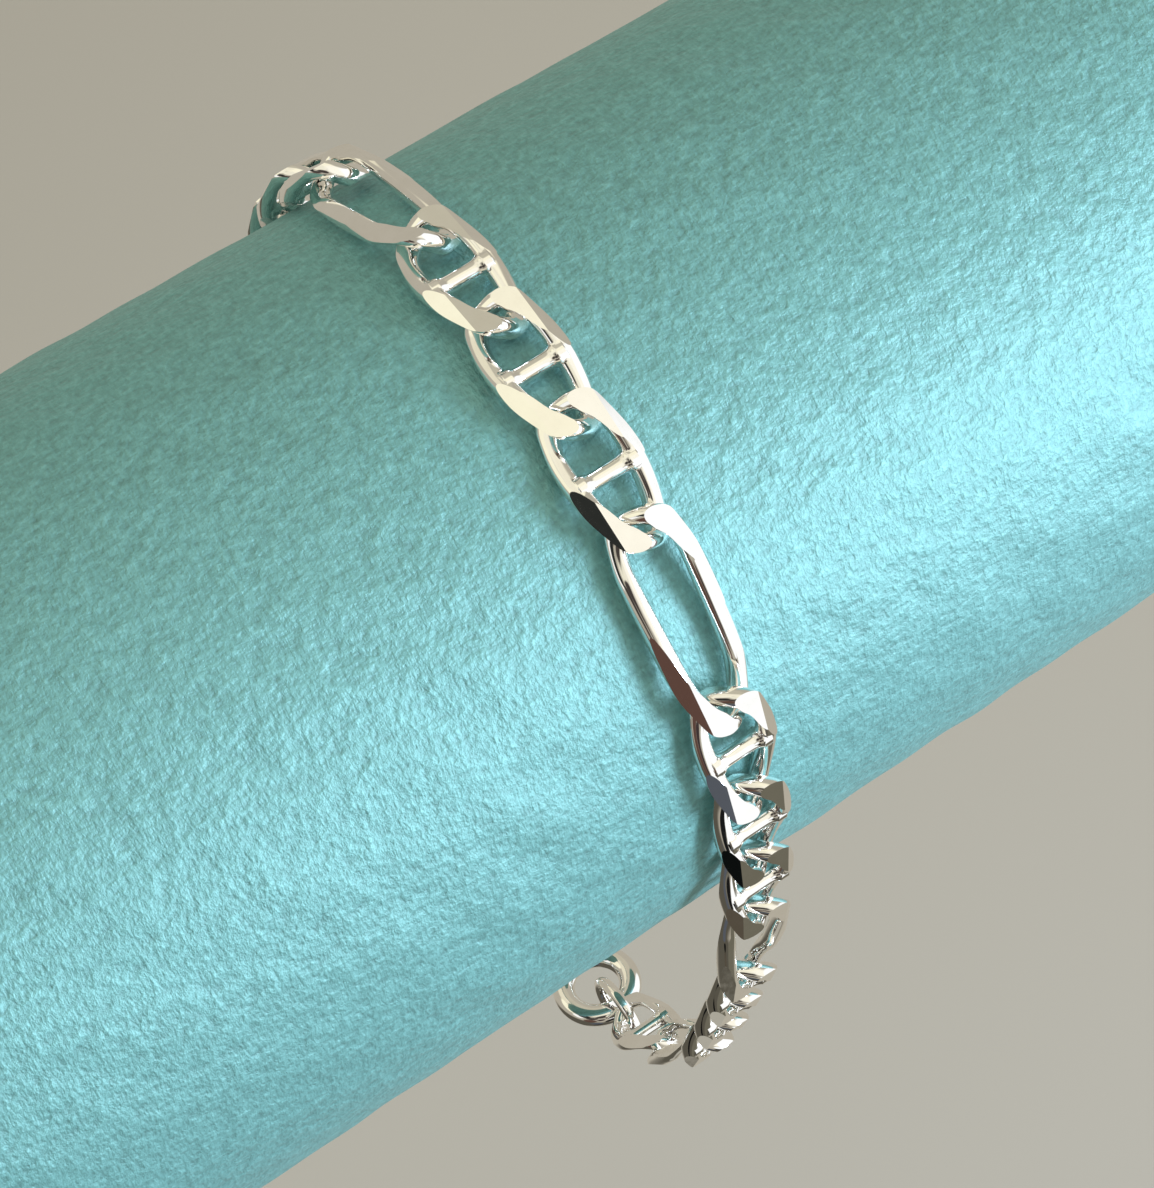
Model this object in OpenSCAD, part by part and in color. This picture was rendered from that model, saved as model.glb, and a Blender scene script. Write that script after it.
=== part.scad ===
// Link bracelet hung over a display roll, in millimetres.
// +X runs along the roll, +Z is up and the front is towards -Y.
// The origin is on the roll's axis, in the plane that the bracelet hangs in.

/* [Roll] */
// Outside diameter of the display roll
roll_d = 42; // [39:0.5:44]
// Thickness of the roll's wall
roll_wall = 1.5; // [1:0.1:3]
// Length of the roll
roll_len = 100; // [60:1:160]
// Space between the roll and the wire that lies on it
roll_space = 0.3; // [0.3:0.02:0.5]

/* [Links] */
// Number of links, where every fourth one is long
link_count = 25; // [23:1:31]
// Clear width between the two rails of a link
link_gap = 2.26; // [2.2:0.02:2.4]
// Width of the wire at the middle of a rail
rail_w = 1.04; // [0.9:0.02:1.08]
// Width of the wire in the broad lobes
lobe_w = 1.24; // [1.1:0.02:1.3]
// Width of the wire at the ends of a link
tip_w = 0.92; // [0.86:0.02:1]
// Thickness of the wire before it is ground
wire_t = 1.02; // [0.9:0.02:1.04]
// Length that a short link adds to the chain
short_pitch = 6; // [5.8:0.1:6.6]
// Length that a long link adds to the chain
long_pitch = 9.7; // [8.5:0.1:10.5]
// Thickness of the bar across a short link
bar_d = 0.88; // [0.6:0.02:0.96]
// Turn of each end of a link out of the middle plane, in degrees
end_twist = 43; // [40:1:46]
// Thickness of a link between its ground faces
ground_t = 1.58; // [1.3:0.02:1.7]
// Slant of the ground facets along the outer edges, in degrees
facet_slant = 55; // [45:1:60]
// Depth that the facets reach below the corners of the rails
facet_depth = 0.2; // [0.1:0.02:0.3]
// Free play between two pieces of the chain
play = 0.4; // [0.38:0.02:0.5]

/* [Clasp and rings] */
// Wire of the jump ring
jump_wire = 0.8; // [0.6:0.05:0.9]
// Length that the jump ring adds to the chain
jump_pitch = 2.2; // [2:0.1:3.4]
// Wire of the end ring
end_wire = 0.9; // [0.7:0.05:1]
// Length that the end ring adds to the chain
end_pitch = 3.6; // [3:0.1:5]
// Length that the clasp adds to the chain, from the middle of its claw's wire to that of its eye
clasp_pitch = 11.8; // [11:0.1:14]
// Clear width of the clasp's claw
claw_gap = 3; // [2.4:0.1:3.4]
// Thickness of the clasp's claw
claw_wire = 1.5; // [1.2:0.05:1.7]
// Clear width of the clasp's eye
eye_gap = 1.8; // [1.5:0.1:2.2]
// Thickness of the clasp's eye
eye_wire = 0.9; // [0.7:0.05:1]
// Greatest thickness of the clasp's body
clasp_body_d = 2.8; // [2.2:0.1:3.4]

/* [Hanging] */
// Angle from the roll's top to the middle of the first link on the front, in degrees
first_link_angle = -4.6; // [-8:0.1:0]
// How square the hanging part of the loop is, where 2 is an ellipse
loop_power = 2.37; // [2.1:0.01:2.6]

/* [Hidden] */
// Number of the link whose middle lies at first_link_angle
TOP_LINK = 13;
// Power of the links' oval outline, where 2 is an ellipse
OUTLINE_POWER = 3.1;
// Place along half a link where the lobes are broadest, and the power that brings it there
LOBE_PLACE = 0.87;
LOBE_LEAN = ln(0.5) / ln(LOBE_PLACE);
// Share of a link's half length that the extra length of a long link stretches
STRETCH_SHARE = 0.35;
// Steps round a link, and corners of its wire as shares of the wire's half thickness
LINK_STEPS = 16;
WIRE_CORNERS = [[1, 0], [0.56, 0.89], [-0.56, 0.89], [-1, 0], [-0.56, -0.89], [0.56, -0.89]];
// Place along the clasp's body where it is widest, the power that brings it there, and its steps
BODY_WIDEST = 0.6;
BODY_LEAN = ln(0.5) / ln(BODY_WIDEST);
BODY_STEPS = 10;
// Halvings that find a place on the route, and those that find the loop's drop
PLACE_HALVINGS = 26;
DROP_HALVINGS = 22;
// Widest turn round the route that one piece takes, in degrees, and the loop's deepest drop
// as a multiple of the roll's diameter
WIDEST_TURN = 80;
DEEPEST_DROP = 3;
SILVER = [0.86, 0.86, 0.84];
TEAL = [0.42, 0.7, 0.7];
// Facets of round pieces
$fn = 64;

rail_r = (link_gap + rail_w) / 2;
half_short = (short_pitch + play + tip_w) / 2;

function two_digits(i) = str(i < 10 ? "0" : "", i);
function link(i) = i % 4 == 2 ?
    [str("long_link_", two_digits(i)), long_pitch, "long link"] :
    [str("bar_link_", two_digits(i)), short_pitch, "bar link"];

// Each piece's name, the length that it adds and its kind, in the order that the route meets them:
// down the front, through the clasp and up the back.
pieces = concat(
    [for (i = [TOP_LINK:-1:1]) link(i)],
    [
        ["jump_ring", jump_pitch, "jump ring"],
        ["clasp", clasp_pitch, "clasp"],
        ["end_ring", end_pitch, "end ring"]
    ],
    [for (i = [link_count:-1:TOP_LINK + 1]) link(i)]
);
piece_count = len(pieces);

// The route is an arc over the roll and half of a rounded oval below it.
// t is the angle from the top towards the front, r the half width and drop the depth of the oval.
function route(t, r, drop) =
    let (c = cos(t), s = sin(t), q = 2 / loop_power)
    c >= 0 ? [-r * s, r * c] : [-r * sign(s) * pow(abs(s), q), -drop * pow(-c, q)];

// Distance from the roll's axis to the middle of a link that lies on the roll
lying_r = roll_d / 2 + roll_space + wire_t / 2;

// A joint stands as far off the roll's axis as its longer neighbour needs to clear the roll.
function joint_r(k) =
    let (before = pieces[(k + piece_count - 1) % piece_count][1], after = pieces[k % piece_count][1])
    norm([lying_r, max(before, after) / 2]);
least_r = norm([lying_r, short_pitch / 2]);
function joint(k, t, drop) = route(t, joint_r(k), drop + joint_r(k) - least_r);

// Angle at which joint k is one chord away from the joint before it
function place(k, from, drop, low, high, n = PLACE_HALVINGS) =
    let (mid = (low + high) / 2)
    n == 0 ? mid :
    norm(joint(k, mid, drop) - from) < pieces[k - 1][1] ?
        place(k, from, drop, mid, high, n - 1) : place(k, from, drop, low, mid, n - 1);

// Angles of all joints, from the upper end of the top link round to the same place again
start_angle = first_link_angle - asin(short_pitch / 2 / joint_r(0));
function joint_angles(drop, k = 0, t = start_angle) =
    k == piece_count ? [t] :
    let (from = joint(k, t, drop), next = place(k + 1, from, drop, t, t + WIDEST_TURN))
    concat([t], joint_angles(drop, k + 1, next));

// The drop at which the whole length of the chain closes the loop
function closing_drop(low, high, n = DROP_HALVINGS) =
    let (mid = (low + high) / 2)
    n == 0 ? mid :
    joint_angles(mid)[piece_count] > start_angle + 360 ?
        closing_drop(mid, high, n - 1) : closing_drop(low, mid, n - 1);
loop_drop = closing_drop(roll_d / 2, DEEPEST_DROP * roll_d);
angles = joint_angles(loop_drop);
joints = [for (k = [0:piece_count]) joint(k, angles[k], loop_drop)];

// Stands a piece between its two joints, with its +Y towards the joint before it and its +Z outwards
module at_piece(k) {
    mid = (joints[k] + joints[k + 1]) / 2;
    up = joints[k] - joints[k + 1];
    translate([0, mid[0], mid[1]])
        rotate([atan2(up[1], up[0]), 0, 0])
            children();
}

// Share of the half length that a step of the outline lies at, from -1 to 1
function rise(t) = sign(sin(t)) * pow(abs(sin(t)), 2 / OUTLINE_POWER);

// Middle line of a link, flat, before its ends are turned out of the plane
function flat_line(t, extra) = [
    rail_r * sign(cos(t)) * pow(abs(cos(t)), 2 / OUTLINE_POWER),
    half_short * rise(t) + extra * sin(90 * max(-1, min(1, rise(t) / STRETCH_SHARE)))
];

// Turns a point of the link about the long axis
function turned(p, a) = [p[0] * cos(a) - p[2] * sin(a), p[1], p[0] * sin(a) + p[2] * cos(a)];

function limit(v, most) = max(-most, min(most, v));

// Takes a point back to a slanted facet, on the side of x and z given by their signs
facet_reach = (rail_r + rail_w / 2) * cos(facet_slant) + wire_t / 2 * sin(facet_slant) - facet_depth;
function faceted(p, sx, sz) =
    let (over = max(0, sx * p[0] * cos(facet_slant) + sz * p[2] * sin(facet_slant) - facet_reach))
    [p[0] - sx * over * cos(facet_slant), p[1], p[2] - sz * over * sin(facet_slant)];
function ground(p) =
    let (q = faceted(faceted(faceted(faceted(p, 1, 1), -1, 1), 1, -1), -1, -1))
    [q[0], q[1], limit(q[2], ground_t / 2)];

// Width of the wire at a share r of the half length, with the lobe's extra width on top of
// what leads evenly from the rail to the tip
function even_w(r) = (1 - r) * rail_w + r * tip_w;
function width(r) =
    even_w(r) + (lobe_w - even_w(LOBE_PLACE)) * pow(sin(180 * pow(r, LOBE_LEAN)), 2);

// One corner of the wire at step t: out from the middle line, turned with it and ground flat
function link_point(t, corner, extra) =
    let (
        here = flat_line(t, extra),
        ahead = flat_line(t + 1, extra) - flat_line(t - 1, extra),
        out = [ahead[1], -ahead[0]] / norm(ahead),
        side = here + out * corner[0] * width(abs(rise(t))) / 2
    )
    ground(turned([side[0], side[1], corner[1] * wire_t / 2], end_twist * rise(t)));

module wire_loop(extra) {
    sides = len(WIRE_CORNERS);
    points = [
        for (k = [0:LINK_STEPS - 1]) for (c = WIRE_CORNERS)
            link_point(360 * k / LINK_STEPS, c, extra)
    ];
    function at(k, j) = (k % LINK_STEPS) * sides + j % sides;
    faces = [
        for (k = [0:LINK_STEPS - 1]) for (j = [0:sides - 1])
            each [[at(k, j), at(k + 1, j + 1), at(k + 1, j)], [at(k, j), at(k, j + 1), at(k + 1, j + 1)]]
    ];
    polyhedron(points, faces);
}

// A short link, with its bar soldered across the middle
module bar_link() {
    color(SILVER) {
        wire_loop(0);
        rotate([0, 90, 0])
            cylinder(h = link_gap + rail_w, d = bar_d, center = true);
    }
}

// A long link is a short one without the bar, stretched in its middle
module long_link() {
    color(SILVER) wire_loop((long_pitch - short_pitch) / 2);
}

module round_wire(mean_r, wire) {
    rotate_extrude()
        translate([mean_r, 0])
            circle(d = wire);
}

// A round ring that stands across a link and the clasp. It reaches past its joint with the link
// by half of the play, and past the middle of the clasp's wire by the whole play.
// toward_clasp is 1 where the clasp is on its +Y side and -1 where the link is.
module ring(pitch, wire, clasp_wire, toward_clasp) {
    link_reach = (play + wire) / 2;
    clasp_reach = play + (wire + clasp_wire) / 2;
    color(SILVER)
        translate([0, toward_clasp * (clasp_reach - link_reach) / 2, 0])
            rotate([0, 90, 0])
                round_wire((pitch + link_reach + clasp_reach) / 2, wire);
}

// Half thickness of the clasp's body, from its eye at 0 to its claw at 1
function body_taper(u) = (1 - u) * eye_wire / 2 + u * claw_wire / 2;
function body_r(u) =
    body_taper(u) + (clasp_body_d / 2 - body_taper(BODY_WIDEST)) * sin(180 * pow(u, BODY_LEAN));

// The clasp is one closed piece: a claw, a body that is widest near it, and an eye
module clasp() {
    claw_r = (claw_gap + claw_wire) / 2;
    eye_r = (eye_gap + eye_wire) / 2;
    body_from = eye_r * 2 - clasp_pitch / 2;
    body_to = clasp_pitch / 2 - claw_r * 2;
    color(SILVER) {
        translate([0, clasp_pitch / 2 - claw_r, 0]) round_wire(claw_r, claw_wire);
        translate([0, eye_r - clasp_pitch / 2, 0]) round_wire(eye_r, eye_wire);
        rotate([-90, 0, 0])
            rotate_extrude()
                polygon([
                    [0, body_to],
                    [0, body_from],
                    for (i = [0:BODY_STEPS])
                        let (u = i / BODY_STEPS)
                            [body_r(u), body_from + u * (body_to - body_from)]
                ]);
    }
}

module display_roll() {
    color(TEAL)
        rotate([0, 90, 0])
            difference() {
                cylinder(h = roll_len, d = roll_d, center = true);
                cylinder(h = 2 * roll_len, d = roll_d - 2 * roll_wall, center = true);
            }
}

module piece(k) {
    kind = pieces[k][2];
    at_piece(k)
        if (kind == "bar link") bar_link();
        else if (kind == "long link") long_link();
        else if (kind == "jump ring") ring(jump_pitch, jump_wire, claw_wire, -1);
        else if (kind == "end ring") ring(end_pitch, end_wire, eye_wire, 1);
        else clasp();
}

display_roll();
for (k = [0:piece_count - 1])
    piece(k);
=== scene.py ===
"""Looks of a link bracelet that hangs as a loop over a paper display roll.

Shapes are worked out in millimetres with numpy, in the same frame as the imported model, and are
put into Blender in metres. +X runs along the roll, +Z is up and the front is towards -Y.
"""

import math

import bmesh
import bpy
import numpy as np
from mathutils import Matrix, Vector


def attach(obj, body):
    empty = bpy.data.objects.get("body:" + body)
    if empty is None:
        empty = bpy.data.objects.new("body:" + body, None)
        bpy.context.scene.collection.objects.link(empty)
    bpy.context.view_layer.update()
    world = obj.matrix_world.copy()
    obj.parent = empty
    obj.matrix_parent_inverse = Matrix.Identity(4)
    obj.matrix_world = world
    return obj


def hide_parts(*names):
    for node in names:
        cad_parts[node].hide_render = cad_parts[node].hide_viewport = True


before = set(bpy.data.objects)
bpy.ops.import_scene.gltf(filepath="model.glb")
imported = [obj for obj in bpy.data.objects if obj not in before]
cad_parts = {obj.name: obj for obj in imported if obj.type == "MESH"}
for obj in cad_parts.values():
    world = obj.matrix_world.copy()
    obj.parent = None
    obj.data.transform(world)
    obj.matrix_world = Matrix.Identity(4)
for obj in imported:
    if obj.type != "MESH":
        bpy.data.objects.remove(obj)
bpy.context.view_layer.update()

MM = 0.001
FULL_TURN = 2 * math.pi

# Sizes of the object are in millimetres. A gap is clear width, and a pitch is the length that a
# piece adds to the chain.

# Roll
ROLL_D = 42.0
ROLL_WALL = 1.5
ROLL_LEN = 100.0
ROLL_SPACE = 0.3  # under the wire of a link that lies on it
ROLL_RIM = 0.4  # radius of its rims' rounding

# Lumps in the roll's face, whose waves are in radians a millimetre along it and in waves round it
LUMP_SEED = 7
LUMP_WAVES = 40
LUMP_HEIGHT = 0.006
LUMP_ALONG = (0.2, 1.6)
LUMP_ROUND = (2, 34)

# Links, of which 2, 6, 10 and so on are long
LINK_COUNT = 25
TOP_LINK = 13  # the one whose middle lies at FIRST_LINK_ANGLE
LONG_EVERY = 4
FIRST_LONG = 2
SHORT_PITCH = 6.0
LONG_PITCH = 9.7
PLAY = 0.4  # between two pieces of the chain
LINK_GAP = 2.26  # between the rails
RAIL_W = 1.04  # the wire's width at the middle of a rail, in the broad lobes and at the ends
LOBE_W = 1.24
TIP_W = 0.92
WIRE_T = 1.02  # before it is ground
WIRE_POWER = 2.4  # of the wire's section, where 2 is an ellipse
OUTLINE_POWER = 3.1  # of the link's oval outline
LOBE_PLACE = 0.87  # along half a link
STRETCH_SHARE = 0.35  # of half a link, which a long link's extra length stretches
END_TWIST = math.radians(43)  # turn of each end out of the middle plane
RAIL_R = (LINK_GAP + RAIL_W) / 2
HALF_SHORT = (SHORT_PITCH + PLAY + TIP_W) / 2

# Ground faces of a link: its thickness between the flat ones, and the slant of those along the
# outer edges and their depth below the corners of the rails
GROUND_T = 1.58
FACET_SLANT = math.radians(55)
FACET_DEPTH = 0.2

# Bar, and the solder that it flares into: what that adds to its thickness, how soon it falls off,
# how far it starts inside the rail, and its power
BAR_D = 0.88
FLARE = 0.34
FLARE_LEN = 0.2
FLARE_INSET = 0.05
FLARE_POWER = 1.3

# Clasp and rings
JUMP_WIRE = 0.8
JUMP_PITCH = 2.2
END_WIRE = 0.9
END_PITCH = 3.6
CLASP_PITCH = 11.8  # from the middle of its claw's wire to that of its eye
CLAW_GAP = 3.0
CLAW_WIRE = 1.5
EYE_GAP = 1.8
EYE_WIRE = 0.9
CLASP_BODY_D = 2.8  # where it is widest
BODY_WIDEST = 0.6  # along the body, from the eye
CLASP_VOXEL = 0.09
CLASP_SOFTENING = 6  # rounds of smoothing

# Hanging: the angle of the top link, how square the loop hangs, where 2 is an ellipse, and the
# widest turn that one piece takes, the deepest drop as a multiple of the roll's diameter and the
# number of halvings that find the joints
FIRST_LINK_ANGLE = math.radians(-4.6)
LOOP_POWER = 2.37
WIDEST_TURN = math.radians(80)
DEEPEST_DROP = 3.0
HALVINGS = 40
LYING_R = ROLL_D / 2 + ROLL_SPACE + WIRE_T / 2  # of a lying link's middle

# Fineness of the meshes
LINK_STEPS = 176
WIRE_STEPS = 52
TANGENT_STEP = 0.01
BAR_ALONG = 60
BAR_AROUND = 40
RING_STEPS = 128
RING_WIRE_STEPS = 32
CLAW_STEPS = 112
CLAW_WIRE_STEPS = 40
EYE_STEPS = 80
EYE_WIRE_STEPS = 28
BODY_ALONG = 48
BODY_AROUND = 64
ROLL_AROUND = 360
ROLL_ALONG = 240
RIM_STEPS = 6

# Nearness at which points count as one or as on a cut, and at which a face counts as on a facet:
# its distance from the facet's plane and the cosine between their normals
SAME_PLACE = 1e-5
ON_FACET = 2e-4
ALONG_FACET = 0.9995


# The chain's route


def link_row(i):
    """Name, pitch and kind of link i, where every fourth one is long."""
    if i % LONG_EVERY == FIRST_LONG:
        return (f"long_link_{i:02d}", LONG_PITCH, "long link")
    return (f"bar_link_{i:02d}", SHORT_PITCH, "bar link")


PIECES = (
    [link_row(i) for i in range(TOP_LINK, 0, -1)]
    + [("jump_ring", JUMP_PITCH, "jump ring"), ("clasp", CLASP_PITCH, "clasp")]
    + [("end_ring", END_PITCH, "end ring")]
    + [link_row(i) for i in range(LINK_COUNT, TOP_LINK, -1)]
)


def joint_radius(k):
    """Distance of joint k from the roll's axis: the hypotenuse of a lying link's distance and
    half of the longer of its two neighbours."""
    longer = max(PIECES[k - 1][1], PIECES[k % len(PIECES)][1])
    return math.hypot(LYING_R, longer / 2)


START_ANGLE = FIRST_LINK_ANGLE - math.asin(SHORT_PITCH / 2 / joint_radius(0))


def route_point(k, t, drop):
    """Place of joint k at angle t from the top: an arc over the roll, and below it half of a
    superellipse, whose half width is the joint's radius and whose depth is the drop."""
    r = joint_radius(k)
    depth = drop + r - math.hypot(LYING_R, SHORT_PITCH / 2)
    s, c = math.sin(t), math.cos(t)
    if c >= 0:
        return np.array([-r * s, r * c])
    power = 2 / LOOP_POWER
    return np.array([-r * math.copysign(abs(s) ** power, s), -depth * (-c) ** power])


def halved(low, high, too_low):
    """Number between low and high at which too_low stops being true, found by halving."""
    for _ in range(HALVINGS):
        mid = (low + high) / 2
        if too_low(mid):
            low = mid
        else:
            high = mid
    return mid


def next_angle(k, t, drop, last, pitch):
    """Angle at which joint k is one pitch from the last joint, which stands at angle t."""
    def too_near(angle):
        """Whether joint k is less than a pitch away at this angle."""
        return np.linalg.norm(route_point(k, angle, drop) - last) < pitch
    return halved(t, t + WIDEST_TURN, too_near)


def walk(drop):
    """Joints in order, each one chord from the last, with the angle that the walk ends at."""
    t = START_ANGLE
    joints = [route_point(0, t, drop)]
    for k, (_, pitch, _) in enumerate(PIECES, start=1):
        t = next_angle(k, t, drop, joints[-1], pitch)
        joints.append(route_point(k, t, drop))
    return joints, t


def hanging_joints():
    """Joints of the closed loop, whose drop brings the last joint round to the first."""
    def too_shallow(drop):
        """Whether the chain is longer than a loop of this drop, so that it runs past its start."""
        return walk(drop)[1] > START_ANGLE + FULL_TURN
    return walk(halved(ROLL_D / 2, DEEPEST_DROP * ROLL_D, too_shallow))[0]


JOINTS = hanging_joints()


def placing(k):
    """Matrix that stands piece k between its joints, +Y towards the joint before it, +Z outwards,
    and turns millimetres into metres."""
    mid = (JOINTS[k] + JOINTS[k + 1]) / 2
    up = JOINTS[k] - JOINTS[k + 1]
    turn = Matrix.Rotation(math.atan2(up[1], up[0]), 4, "X")
    return Matrix.Scale(MM, 4) @ Matrix.Translation((0, mid[0], mid[1])) @ turn


# Formulas that several shapes use


def turns(steps):
    """Angles of even steps round a full turn."""
    return np.arange(steps) / steps * FULL_TURN


def signed_power(values, power):
    """Each value's size to a power, with the value's own sign."""
    return np.sign(values) * np.abs(values) ** power


def mixed(first, last, share):
    """Straight run from the first number to the last."""
    return (1 - share) * first + share * last


def swell(share, place):
    """Half wave from 0 up to 1 at a place and back to 0: the sine of pi times the share to the
    power that leads the place to one half."""
    return np.sin(math.pi * share ** (math.log(0.5) / math.log(place)))


# Mesh helpers


def grid_faces(rows, columns, close_rows, close_columns):
    """Quads of a grid of points, each turned so that rows x columns gives the outward side."""
    i = np.arange(rows if close_rows else rows - 1)
    j = np.arange(columns if close_columns else columns - 1)
    i, j = np.meshgrid(i, j, indexing="ij")
    row, next_row = i * columns, (i + 1) % rows * columns
    next_j = (j + 1) % columns
    quads = np.stack([row + j, next_row + j, next_row + next_j, row + next_j], axis=-1)
    return quads.reshape(-1, 4)


def new_mesh(name, points, quads):
    """Mesh of whole arrays of points and quads."""
    mesh = bpy.data.meshes.new(name)
    mesh.vertices.add(points.size // 3)
    mesh.vertices.foreach_set("co", points.astype(np.float32).ravel())
    mesh.loops.add(quads.size)
    mesh.loops.foreach_set("vertex_index", quads.astype(np.int32).ravel())
    mesh.polygons.add(len(quads))
    mesh.polygons.foreach_set("loop_start", np.arange(0, quads.size, 4, dtype=np.int32))
    mesh.update(calc_edges=True)
    mesh.validate()
    return mesh


def new_object(name, data):
    """Object in the scene, at the origin."""
    obj = bpy.data.objects.new(name, data)
    bpy.context.collection.objects.link(obj)
    return obj


def read(items, attribute, number_type, width=1):
    """Array of one attribute of all of a mesh's vertices, faces or loops."""
    values = np.empty(len(items) * width, number_type)
    items.foreach_get(attribute, values)
    return values.reshape(-1, width) if width > 1 else values


def shade_smooth(mesh):
    """Smooth shading on every face."""
    mesh.polygons.foreach_set("use_smooth", np.ones(len(mesh.polygons), bool))


def spun_mesh(name, along, radius, steps, axis):
    """Closed surface of revolution: radius[i] at along[i], with the poles' points merged."""
    angle = turns(steps)
    points = np.stack(np.broadcast_arrays(along[:, None], radius[:, None] * np.cos(angle),
                                          radius[:, None] * np.sin(angle)), axis=-1)
    if axis == "Y":
        points = points[..., [2, 0, 1]]
    mesh = new_mesh(name, points, grid_faces(len(along), steps, False, True))
    bm = bmesh.new()
    bm.from_mesh(mesh)
    bmesh.ops.remove_doubles(bm, verts=bm.verts, dist=SAME_PLACE)
    bmesh.ops.recalc_face_normals(bm, faces=bm.faces)
    bm.to_mesh(mesh)
    bm.free()
    return mesh


def torus_mesh(name, mean_r, wire, steps, wire_steps):
    """Round ring about the Z axis: a circle of the wire carried round the mean circle."""
    u, v = turns(steps)[:, None], turns(wire_steps)
    reach = mean_r + wire / 2 * np.cos(v)
    points = np.stack(np.broadcast_arrays(reach * np.cos(u), reach * np.sin(u),
                                          wire / 2 * np.sin(v)), axis=-1)
    return new_mesh(name, points, grid_faces(steps, wire_steps, True, True))


def with_modifiers_applied(obj):
    """New mesh of an object with all its modifiers applied."""
    depsgraph = bpy.context.evaluated_depsgraph_get()
    depsgraph.update()
    return bpy.data.meshes.new_from_object(obj.evaluated_get(depsgraph))


def fused(name, meshes):
    """One mesh that is the union of closed ones."""
    base, *others = [new_object(name, mesh) for mesh in meshes]
    for other in others:
        union = base.modifiers.new("union", "BOOLEAN")
        union.operation = "UNION"
        union.solver = "EXACT"
        union.object = other
    mesh = with_modifiers_applied(base)
    for obj in [base, *others]:
        bpy.data.objects.remove(obj)
    return mesh


def add_piece(name, mesh, material, node):
    """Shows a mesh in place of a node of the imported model, on the same body."""
    mesh.materials.clear()
    mesh.materials.append(material)
    obj = new_object(name, mesh)
    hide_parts(node)
    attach(obj, "root")


# Links


def middle_line(t, extra):
    """Middle line of a link's wire at angle t, with its rise from -1 to 1: a superellipse whose
    height is the rise, and a long link adds extra times the sine of the rise, held at the ends."""
    rise = signed_power(np.sin(t), 2 / OUTLINE_POWER)
    reach = np.sin(math.pi / 2 * np.clip(rise / STRETCH_SHARE, -1, 1))
    across = RAIL_R * signed_power(np.cos(t), 2 / OUTLINE_POWER)
    return np.stack([across, HALF_SHORT * rise + extra * reach], axis=1), rise


def half_wire_width(share):
    """Half of the wire's width from the rail, share 0, to the tip, share 1: a straight run with a
    lobe on top, which is a squared half wave."""
    lobe = LOBE_W - mixed(RAIL_W, TIP_W, LOBE_PLACE)
    return (mixed(RAIL_W, TIP_W, share) + lobe * swell(share, LOBE_PLACE) ** 2) / 2


def link_points(extra):
    """Wire of a link as a closed grid of points, before it is ground.

    The wire is a rounded square, a superellipse as the middle line is, and stands across that
    line. Every point is then turned about the long axis by the end twist times the rise.
    """
    t, around = turns(LINK_STEPS), turns(WIRE_STEPS)
    line, rise = middle_line(t, extra)
    ahead = middle_line(t + TANGENT_STEP, extra)[0] - middle_line(t - TANGENT_STEP, extra)[0]
    ahead /= np.linalg.norm(ahead, axis=1, keepdims=True)
    out = np.stack([ahead[:, 1], -ahead[:, 0]], axis=1)

    half_width = half_wire_width(np.abs(rise))
    across = signed_power(np.cos(around), 2 / WIRE_POWER) * half_width[:, None]
    height = signed_power(np.sin(around), 2 / WIRE_POWER) * WIRE_T / 2
    side = line[:, None, :] + out[:, None, :] * across[..., None]
    turn = END_TWIST * rise[:, None]
    x = side[..., 0] * np.cos(turn) - height * np.sin(turn)
    z = side[..., 0] * np.sin(turn) + height * np.cos(turn)
    return np.stack([x, side[..., 1], z], axis=-1)


def ground_planes():
    """Normal and distance of the four slanted facets and of the two flat sides."""
    c, s = math.cos(FACET_SLANT), math.sin(FACET_SLANT)
    reach = (RAIL_R + RAIL_W / 2) * c + WIRE_T / 2 * s - FACET_DEPTH
    slanted = [((sx * c, 0, sz * s), reach) for sx in (1, -1) for sz in (1, -1)]
    return slanted + [((0, 0, 1), GROUND_T / 2), ((0, 0, -1), GROUND_T / 2)]


def grind(mesh):
    """Cuts the mesh's faces along each plane and lays all that stands above it flat on it."""
    for normal, distance in ground_planes():
        bm = bmesh.new()
        bm.from_mesh(mesh)
        whole = list(bm.verts) + list(bm.edges) + list(bm.faces)
        place = Vector(normal) * distance
        bmesh.ops.bisect_plane(bm, geom=whole, dist=SAME_PLACE, plane_co=place, plane_no=normal)
        bm.to_mesh(mesh)
        bm.free()
        points = read(mesh.vertices, "co", np.float32, 3)
        normal = np.array(normal, np.float32)
        points -= np.maximum(points @ normal - distance, 0)[:, None] * normal
        mesh.vertices.foreach_set("co", points.ravel())
        mesh.update()


def sharpen_facets(mesh):
    """Marks as sharp every edge between a ground facet and what is beside it: an edge whose
    faces' lowest and highest facet numbers differ, where 0 is no facet."""
    mesh.update()
    centre = read(mesh.polygons, "center", np.float32, 3)
    normal = read(mesh.polygons, "normal", np.float32, 3)
    total = read(mesh.polygons, "loop_total", np.int32)
    edge = read(mesh.loops, "edge_index", np.int32)
    planes = ground_planes()
    facet = np.zeros(len(total), np.int32)
    for number, (plane, distance) in enumerate(planes, start=1):
        plane = np.array(plane, np.float32)
        near = np.abs(centre @ plane - distance) < ON_FACET
        facet[near & (normal @ plane > ALONG_FACET)] = number
    facet_of_loop = np.repeat(facet, total)
    low = np.full(len(mesh.edges), len(planes), np.int32)
    high = np.zeros(len(mesh.edges), np.int32)
    np.minimum.at(low, edge, facet_of_loop)
    np.maximum.at(high, edge, facet_of_loop)
    mesh.edges.foreach_set("use_edge_sharp", low != high)
    shade_smooth(mesh)
    mesh.update()


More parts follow.
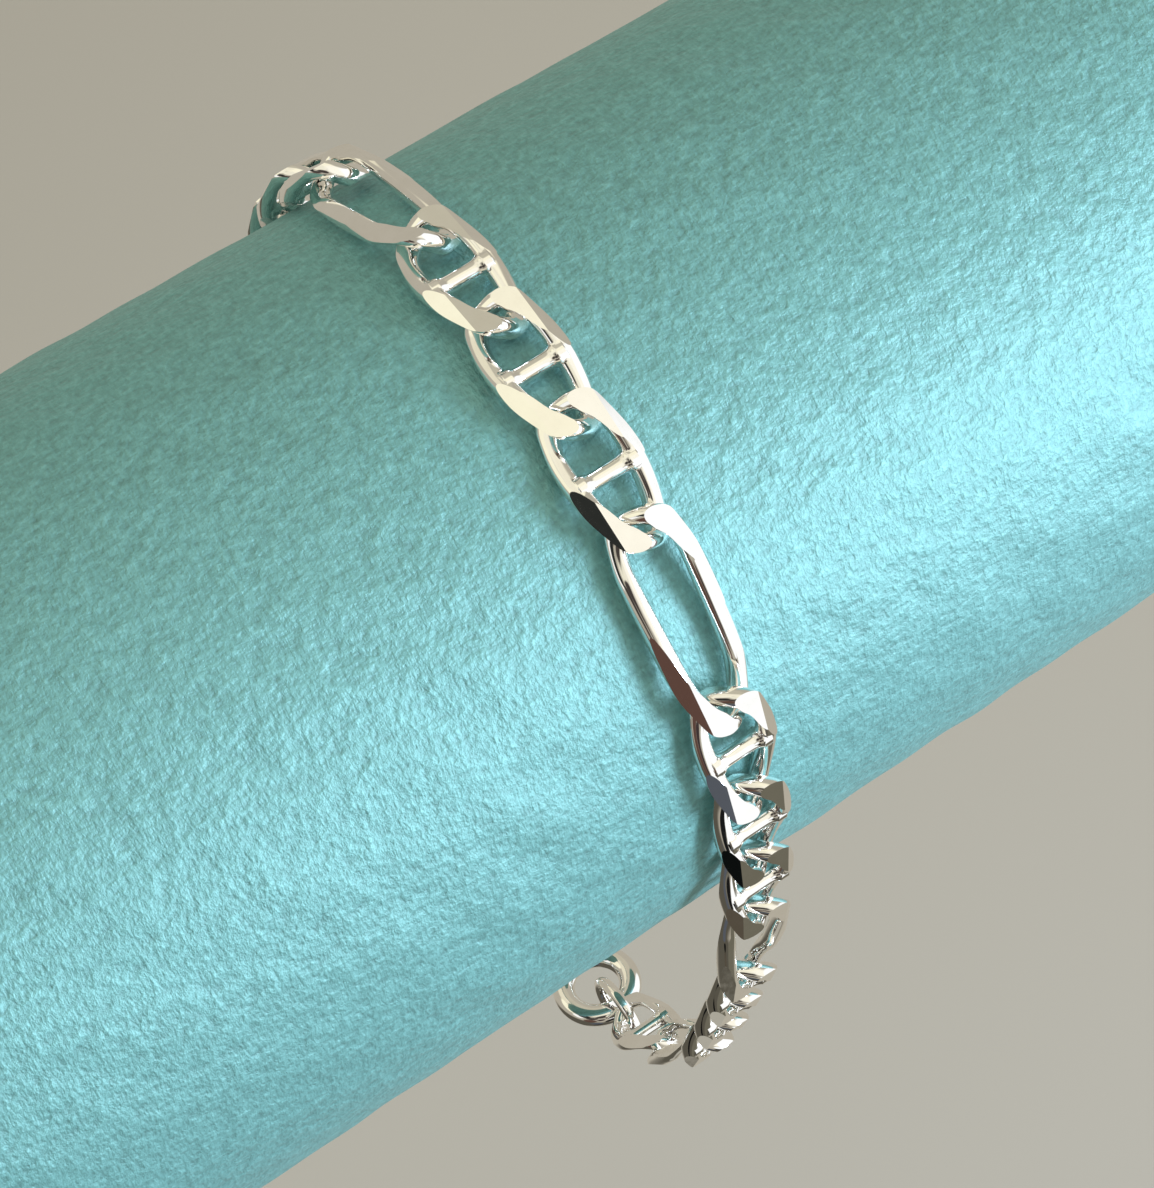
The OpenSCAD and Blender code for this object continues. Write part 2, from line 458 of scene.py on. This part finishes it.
def bar_mesh():
    """Round bar across the link, whose ends flare by a falling exponential where they are
    soldered."""
    along = np.concatenate([[-RAIL_R], np.linspace(-RAIL_R, RAIL_R, BAR_ALONG), [RAIL_R]])
    from_rail = np.maximum(LINK_GAP / 2 + FLARE_INSET - np.abs(along), 0)
    radius = BAR_D / 2 + FLARE / 2 * np.exp(-(from_rail / FLARE_LEN) ** FLARE_POWER)
    radius[[0, -1]] = 0
    return spun_mesh("bar", along, radius, BAR_AROUND, "X")


def link_mesh(extra, barred):
    """One link of the chain in its own frame, in millimetres."""
    points = link_points(extra)
    mesh = new_mesh("wire", points, grid_faces(LINK_STEPS, WIRE_STEPS, True, True))
    grind(mesh)
    if barred:
        mesh = fused("link", [mesh, bar_mesh()])
    sharpen_facets(mesh)
    return mesh


# Clasp and rings


def ring_mesh(pitch, wire, clasp_wire, toward_clasp):
    """Round ring that stands across a link and the clasp, reaching past both joints."""
    link_reach = (PLAY + wire) / 2
    clasp_reach = PLAY + (wire + clasp_wire) / 2
    mean_r = (pitch + link_reach + clasp_reach) / 2
    mesh = torus_mesh("ring", mean_r, wire, RING_STEPS, RING_WIRE_STEPS)
    shift = toward_clasp * (clasp_reach - link_reach) / 2
    mesh.transform(Matrix.Translation((0, shift, 0)) @ Matrix.Rotation(math.pi / 2, 4, "Y"))
    shade_smooth(mesh)
    return mesh


def clasp_body_mesh(start, end):
    """Body of the clasp along Y: a straight taper from the eye's wire to the claw's, with a half
    wave on top that swells it."""
    share = np.linspace(0, 1, BODY_ALONG)
    eye, claw = EYE_WIRE / 2, CLAW_WIRE / 2
    added = CLASP_BODY_D / 2 - mixed(eye, claw, BODY_WIDEST)
    radius = mixed(eye, claw, share) + added * swell(share, BODY_WIDEST)
    along = np.concatenate([[start], start + share * (end - start), [end]])
    return spun_mesh("body", along, np.concatenate([[0], radius, [0]]), BODY_AROUND, "Y")


def clasp_mesh():
    """Closed lobster claw: a claw ring, a body that swells near it and an eye, fused and
    softened."""
    claw_r = (CLAW_GAP + CLAW_WIRE) / 2
    eye_r = (EYE_GAP + EYE_WIRE) / 2
    half = CLASP_PITCH / 2
    claw = torus_mesh("claw", claw_r, CLAW_WIRE, CLAW_STEPS, CLAW_WIRE_STEPS)
    claw.transform(Matrix.Translation((0, half - claw_r, 0)))
    eye = torus_mesh("eye", eye_r, EYE_WIRE, EYE_STEPS, EYE_WIRE_STEPS)
    eye.transform(Matrix.Translation((0, eye_r - half, 0)))
    body = clasp_body_mesh(2 * eye_r - half, half - 2 * claw_r)
    obj = new_object("clasp_form", fused("clasp", [claw, body, eye]))
    remesh = obj.modifiers.new("remesh", "REMESH")
    remesh.mode = "VOXEL"
    remesh.voxel_size = CLASP_VOXEL
    soften = obj.modifiers.new("soften", "CORRECTIVE_SMOOTH")
    soften.iterations = CLASP_SOFTENING
    soften.use_only_smooth = True
    mesh = with_modifiers_applied(obj)
    bpy.data.objects.remove(obj)
    shade_smooth(mesh)
    return mesh


# Display roll


def roll_profile():
    """Closed profile of the roll's wall, as places along X and distances from it: the outer face,
    a rim rounded by two quarter circles, the bore and the other rim."""
    outer, inner, half = ROLL_D / 2, ROLL_D / 2 - ROLL_WALL, ROLL_LEN / 2
    quarter = np.linspace(0, math.pi / 2, RIM_STEPS)
    bend, rest = ROLL_RIM * np.sin(quarter), ROLL_RIM * np.cos(quarter)
    face_x = np.linspace(-half + ROLL_RIM, half - ROLL_RIM, ROLL_ALONG)
    face_r = np.full(ROLL_ALONG, outer)
    rim_x, rim_r = half - ROLL_RIM + bend, outer - ROLL_RIM + rest
    bore_x, bore_r = half - ROLL_RIM + rest, inner + ROLL_RIM - bend
    x = np.concatenate([face_x, rim_x[1:], bore_x, -bore_x[::-1], -rim_x[::-1][:-1]])
    r = np.concatenate([face_r, rim_r[1:], bore_r, bore_r[::-1], rim_r[::-1][:-1]])
    return x, r


def roll_lumps(x, angle):
    """Gentle lumps of the roll's face, all below 0: a sum of sine waves along and round it."""
    draws = np.random.default_rng(LUMP_SEED)
    lumps = np.zeros((len(x), len(angle)))
    for _ in range(LUMP_WAVES):
        waves_x = draws.uniform(*LUMP_ALONG)
        waves_round = draws.integers(*LUMP_ROUND)
        shift = draws.uniform(0, FULL_TURN)
        lumps += np.sin(waves_x * x[:, None] + waves_round * angle + shift)
    lumps *= LUMP_HEIGHT
    return lumps - lumps.max()


def sheet_map(x, r, quads):
    """Place of each quad's corners on the roll's flat sheet: the way walked along the profile and
    the way round the outer face, which both run on over the seam of the grid."""
    walked = np.concatenate([[0], np.cumsum(np.hypot(np.diff(x), np.diff(r)))])
    whole = np.hypot(x[0] - x[-1], r[0] - r[-1]) + walked[-1]
    across = walked[quads // ROLL_AROUND]
    across[:, 1:3][quads[:, 1:3] < quads[:, :1]] += whole
    step = quads % ROLL_AROUND
    step[:, 2:][step[:, 2:] < step[:, :1]] += ROLL_AROUND
    return np.stack([across, step * (FULL_TURN * ROLL_D / 2 / ROLL_AROUND)], axis=-1)


def roll_mesh():
    """Hollow roll of thick paper: its profile carried round the X axis from the bottom, with
    lumps in the outer face and its own flat map in metres."""
    x, r = roll_profile()
    angle = turns(ROLL_AROUND)
    lumps = roll_lumps(x, angle)
    lumps[r < ROLL_D / 2] = 0
    radius = r[:, None] + lumps
    turn = angle + math.pi
    points = np.stack(np.broadcast_arrays(x[:, None], radius * np.sin(turn),
                                          radius * np.cos(turn)), axis=-1)
    quads = grid_faces(len(x), ROLL_AROUND, True, True)
    mesh = new_mesh("roll", points, quads)
    mesh.transform(Matrix.Scale(MM, 4))
    sheet = (sheet_map(x, r, quads) * MM).astype(np.float32)
    mesh.uv_layers.new(name="sheet").data.foreach_set("uv", sheet.ravel())
    shade_smooth(mesh)
    return mesh


# Node helpers


def set_inputs(tree, node, inputs):
    """Gives each named or numbered input its value, or a link where the value is a socket."""
    for key, value in inputs.items():
        if isinstance(value, bpy.types.NodeSocket):
            tree.links.new(value, node.inputs[key])
        else:
            node.inputs[key].default_value = value


def new_node(tree, kind, inputs, output, **settings):
    """Output socket of a new node with these settings and inputs."""
    node = tree.nodes.new("ShaderNode" + kind)
    for setting, value in settings.items():
        setattr(node, setting, value)
    set_inputs(tree, node, inputs)
    return node.outputs[output]


def new_material(name):
    """Material, with its node tree, its shader and its texture coordinates."""
    material = bpy.data.materials.new(name)
    material.use_nodes = True
    tree = material.node_tree
    coordinates = tree.nodes.new("ShaderNodeTexCoord").outputs
    return material, tree, tree.nodes["Principled BSDF"], coordinates


def noise(tree, vector, scale, detail, roughness=0.5):
    """Noise over a vector, at a scale in waves per metre."""
    inputs = {"Vector": vector, "Scale": scale, "Detail": detail, "Roughness": roughness}
    return new_node(tree, "TexNoise", inputs, "Fac")


def ramp(tree, value, stops):
    """Colour over a value, from (place, colour) stops."""
    node = tree.nodes.new("ShaderNodeValToRGB")
    elements = node.color_ramp.elements
    for place, _ in stops[1:-1]:
        elements.new(place)
    for element, (place, colour) in zip(elements, stops):
        element.position = place
        element.color = (*colour, 1)
    set_inputs(tree, node, {"Fac": value})
    return node.outputs["Color"]


def rescaled(tree, value, low, high, new_low=0.0, new_high=1.0, how="LINEAR"):
    """Value led from one range to another and held at its ends."""
    inputs = {"Value": value, "From Min": low, "From Max": high,
              "To Min": new_low, "To Max": new_high}
    return new_node(tree, "MapRange", inputs, "Result", interpolation_type=how)


def stretched(tree, vector, scale, rotation=(0, 0, 0)):
    """Vector squeezed and turned, for a pattern that runs one way."""
    inputs = {"Vector": vector, "Scale": scale, "Rotation": rotation}
    return new_node(tree, "Mapping", inputs, "Vector")


def bump(tree, height, strength, distance, before=None):
    """Normal bent by a height, on top of an earlier one. The distance is in metres."""
    inputs = {"Height": height, "Strength": strength, "Distance": distance}
    if before:
        inputs["Normal"] = before
    return new_node(tree, "Bump", inputs, "Normal")


# Materials


def polished_silver():
    """Mirror polish with a soft cloudiness, fine wipe marks and a barely wavy surface."""
    material, tree, shader, coordinates = new_material("polished_silver")
    place = coordinates["Object"]
    cloud = noise(tree, place, scale=900, detail=3)
    wiped = stretched(tree, place, scale=(1, 0.2, 0.2))
    wipes = noise(tree, wiped, scale=5000, detail=2)
    wavy = noise(tree, place, scale=700, detail=1)
    tints = [(0.3, (0.93, 0.915, 0.885)), (0.7, (0.97, 0.96, 0.94))]
    set_inputs(tree, shader, {
        "Metallic": 1.0,
        "Base Color": ramp(tree, cloud, tints),
        "Roughness": rescaled(tree, wipes, low=0.35, high=0.75, new_low=0.03, new_high=0.11),
        "Normal": bump(tree, wavy, strength=0.25, distance=0.00002),
    })
    return material


def fibrous_paper():
    """Thick teal paper with a felted face, on the roll's own map so that its grain runs round it:
    short raised fibres in two directions, soft lumps and a faint sheen. Its colour is mottled at
    random and also follows the relief, with painted highlight on the raised fibres and lumps and
    painted shade in the pits between them."""
    material, tree, shader, coordinates = new_material("fibrous_paper")
    place = coordinates["UV"]
    round_way = stretched(tree, place, scale=(1, 0.4, 1), rotation=(0, 0, 0.25))
    cross_way = stretched(tree, place, scale=(0.5, 1, 1), rotation=(0, 0, -0.5))
    fibres = noise(tree, round_way, scale=4200, detail=4, roughness=0.62)
    crossed = noise(tree, cross_way, scale=3000, detail=3, roughness=0.6)
    lumps = noise(tree, place, scale=900, detail=4, roughness=0.6)
    # The colour follows the relief as well as mottling at random: painted highlight where fibres
    # and lumps stand high, painted shade in the pits between them.
    felt = new_node(tree, "Math", {0: fibres, 1: crossed}, "Value", operation="ADD")
    lumps_share = 0.6
    sum_of_all = {0: lumps, 1: lumps_share, 2: felt}
    mottle_and_relief_shade = new_node(tree, "Math", sum_of_all, "Value", operation="MULTIPLY_ADD")
    teals = [(0.0, (0.085, 0.25, 0.25)), (0.5, (0.12, 0.345, 0.345)), (1.0, (0.175, 0.46, 0.465))]
    normal = bump(tree, lumps, strength=0.8, distance=0.00025)
    normal = bump(tree, fibres, strength=0.9, distance=0.00009, before=normal)
    normal = bump(tree, crossed, strength=0.7, distance=0.00009, before=normal)
    set_inputs(tree, shader, {
        "Base Color": ramp(tree, rescaled(tree, mottle_and_relief_shade, low=1.0, high=1.6), teals),
        "Roughness": 0.55,
        "Metallic": 0.15,
        "IOR": 1.8,
        "Specular IOR Level": 1.0,
        "Specular Tint": (0.7, 1.0, 1.0, 1),
        "Sheen Weight": 0.1,
        "Sheen Roughness": 0.5,
        "Normal": normal,
    })
    return material


def pale_floor():
    """Plain warm grey surface with a faint unevenness."""
    material, tree, shader, coordinates = new_material("pale_floor")
    patches = noise(tree, coordinates["Object"], scale=3, detail=2)
    greys = [(0.3, (0.445, 0.425, 0.39)), (0.7, (0.475, 0.455, 0.415))]
    set_inputs(tree, shader, {"Base Color": ramp(tree, patches, greys), "Roughness": 0.8})
    return material


# Building


SILVER = polished_silver()
PAPER = fibrous_paper()

SHAPES = {
    "bar link": link_mesh(extra=0, barred=True),
    "long link": link_mesh(extra=(LONG_PITCH - SHORT_PITCH) / 2, barred=False),
    "jump ring": ring_mesh(JUMP_PITCH, JUMP_WIRE, CLAW_WIRE, toward_clasp=-1),
    "end ring": ring_mesh(END_PITCH, END_WIRE, EYE_WIRE, toward_clasp=1),
    "clasp": clasp_mesh(),
}

for number, (piece_name, _, kind) in enumerate(PIECES):
    piece_mesh = SHAPES[kind].copy()
    piece_mesh.transform(placing(number))
    piece_mesh.update()
    add_piece("fine_" + piece_name, piece_mesh, SILVER, piece_name)
for shape in SHAPES.values():
    bpy.data.meshes.remove(shape)

add_piece("paper_roll", roll_mesh(), PAPER, "display_roll")


# Stage, light and camera, whose lengths are in metres

FLOOR_SIZE = 12.0
FLOOR_LEVEL = -0.22

# The window's azimuth and elevation in degrees, distance, width and height, watts and colour
WINDOW_DIRECTION = (146, 16)
WINDOW_DISTANCE = 0.30
WINDOW_SIZE = (0.10, 0.14)
WINDOW_POWER = 1.05
WINDOW_COLOUR = (0.73, 0.84, 1.0)

# Soft boxes and dark flags round the object, laid over each other in this order:
# azimuth, elevation, full radius, outer radius (degrees), colour
ROOM_COLOUR = (0.46, 0.425, 0.35)
SURROUND = [
    (120, 78, 14, 29, (1.02, 0.97, 0.76)),
    (-140, 66, 13, 20, (0.90, 0.86, 0.70)),
    (-8, 70, 16, 23, (0.92, 0.87, 0.70)),
    (-20, 37, 15, 21, (0.80, 0.75, 0.58)),
    (30, 50, 12, 22, (0.53, 0.495, 0.39)),
    (150, 45, 18, 34, (1.05, 1.01, 0.88)),
    (128, 5, 41, 46, (1.07, 1.09, 1.10)),
    (166, -24, 10, 14, (1.07, 1.09, 1.10)),
    (-178, 8, 11, 15, (1.07, 1.09, 1.10)),
    (-66, 36, 18, 23, (1.0, 0.96, 0.74)),
    (-70, 62, 10, 18, (0.95, 0.91, 0.74)),
    (-98, 20, 9, 13, (1.0, 1.0, 0.98)),
    (-115, -50, 36, 50, (0.095, 0.087, 0.067)),
    (-150, 42, 10, 15, (0.06, 0.05, 0.045)),
    (-128, 26, 10, 14, (0.06, 0.05, 0.045)),
    (-107, 36, 10, 13, (0.024, 0.026, 0.024)),
    (-128, 0, 12, 15, (0.11, 0.06, 0.047)),
    (-149, 8, 7, 10, (0.05, 0.035, 0.035)),
    (-170, -17, 11, 14, (0.01, 0.01, 0.01)),
    (-142, -32, 9, 13, (0.09, 0.10, 0.12)),
    (-147, -82, 6, 9, (0.42, 0.40, 0.34)),
    (-146, -64, 5, 8, (0.09, 0.075, 0.055)),
    (-145, -53, 5, 7, (0.004, 0.005, 0.005)),
    (152, -50, 16, 20, (0.15, 0.14, 0.105)),
]

# The photo's camera: its place in millimetres, its heading from +Y towards +X, how far it looks
# down and its roll in radians, its focal length in pixels of a picture 1188 pixels high, its
# sensor's width in millimetres, and the range in metres that it sees
CAMERA_PLACE = (-37.86, -67.83, 127.11)
CAMERA_HEADING = 0.55461
CAMERA_DOWN = 1.04073
CAMERA_ROLL = 0.06459
FOCAL_PIXELS = 2806.4
PICTURE_HEIGHT = 1188
SENSOR = 36.0
NEAREST, FARTHEST = 0.005, 20


def add_floor():
    """Plain floor below the hanging loop."""
    corners = np.array([[-1, -1], [1, -1], [1, 1], [-1, 1]]) * FLOOR_SIZE / 2
    points = np.column_stack([corners, np.full(4, FLOOR_LEVEL)])
    floor = new_object("floor", new_mesh("floor", points, np.array([[0, 1, 2, 3]])))
    floor.data.materials.append(pale_floor())
    floor.visible_glossy = False


def direction(azimuth, elevation):
    """Unit vector: azimuth in degrees from +Y towards +X, elevation above the level."""
    a, e = math.radians(azimuth), math.radians(elevation)
    return Vector((math.sin(a) * math.cos(e), math.cos(a) * math.cos(e), math.sin(e)))


def add_surround():
    """World light: a room colour with each soft box or flag mixed in by its angle to the ray."""
    world = bpy.data.worlds.new("studio")
    bpy.context.scene.world = world
    world.use_nodes = True
    tree = world.node_tree
    ray = tree.nodes.new("ShaderNodeTexCoord").outputs["Generated"]
    colour = (*ROOM_COLOUR, 1)
    for azimuth, elevation, full, outer, tint in SURROUND:
        towards = {0: ray, 1: direction(azimuth, elevation)}
        nearness = new_node(tree, "VectorMath", towards, "Value", operation="DOT_PRODUCT")
        edge, core = math.cos(math.radians(outer)), math.cos(math.radians(full))
        share = rescaled(tree, nearness, edge, core, how="SMOOTHSTEP")
        layers = {"Factor": share, "A": colour, "B": (*tint, 1)}
        colour = new_node(tree, "Mix", layers, "Result", data_type="RGBA")
    set_inputs(tree, tree.nodes["Background"], {"Color": colour})


def add_window():
    """Cool window light from the front right, close enough to fall off along the roll."""
    light = bpy.data.lights.new("window", "AREA")
    light.shape = "RECTANGLE"
    light.size, light.size_y = WINDOW_SIZE
    light.energy = WINDOW_POWER
    light.color = WINDOW_COLOUR
    lamp = new_object("window", light)
    away = direction(*WINDOW_DIRECTION)
    lamp.location = away * WINDOW_DISTANCE
    lamp.rotation_euler = away.to_track_quat("Z", "Y").to_euler()


def add_camera():
    """Camera that looks down at the chain from the front left, as the photo's does."""
    sin_heading, cos_heading = math.sin(CAMERA_HEADING), math.cos(CAMERA_HEADING)
    sin_down, cos_down = math.sin(CAMERA_DOWN), math.cos(CAMERA_DOWN)
    sin_roll, cos_roll = math.sin(CAMERA_ROLL), math.cos(CAMERA_ROLL)
    forward = Vector((sin_heading * cos_down, cos_heading * cos_down, -sin_down))
    right = Vector((cos_heading, -sin_heading, 0))
    below = forward.cross(right)
    across = cos_roll * right + sin_roll * below
    under = cos_roll * below - sin_roll * right
    axes = Matrix((across, -under, -forward)).transposed().to_4x4()
    data = bpy.data.cameras.new("camera")
    data.sensor_fit = "AUTO"
    data.sensor_width = SENSOR
    data.lens = FOCAL_PIXELS * SENSOR / PICTURE_HEIGHT
    data.clip_start, data.clip_end = NEAREST, FARTHEST
    camera = new_object("camera", data)
    camera.matrix_world = Matrix.Translation(Vector(CAMERA_PLACE) * MM) @ axes
    bpy.context.scene.camera = camera


add_floor()
add_surround()
add_window()
add_camera()
bpy.context.scene.view_settings.view_transform = "Standard"
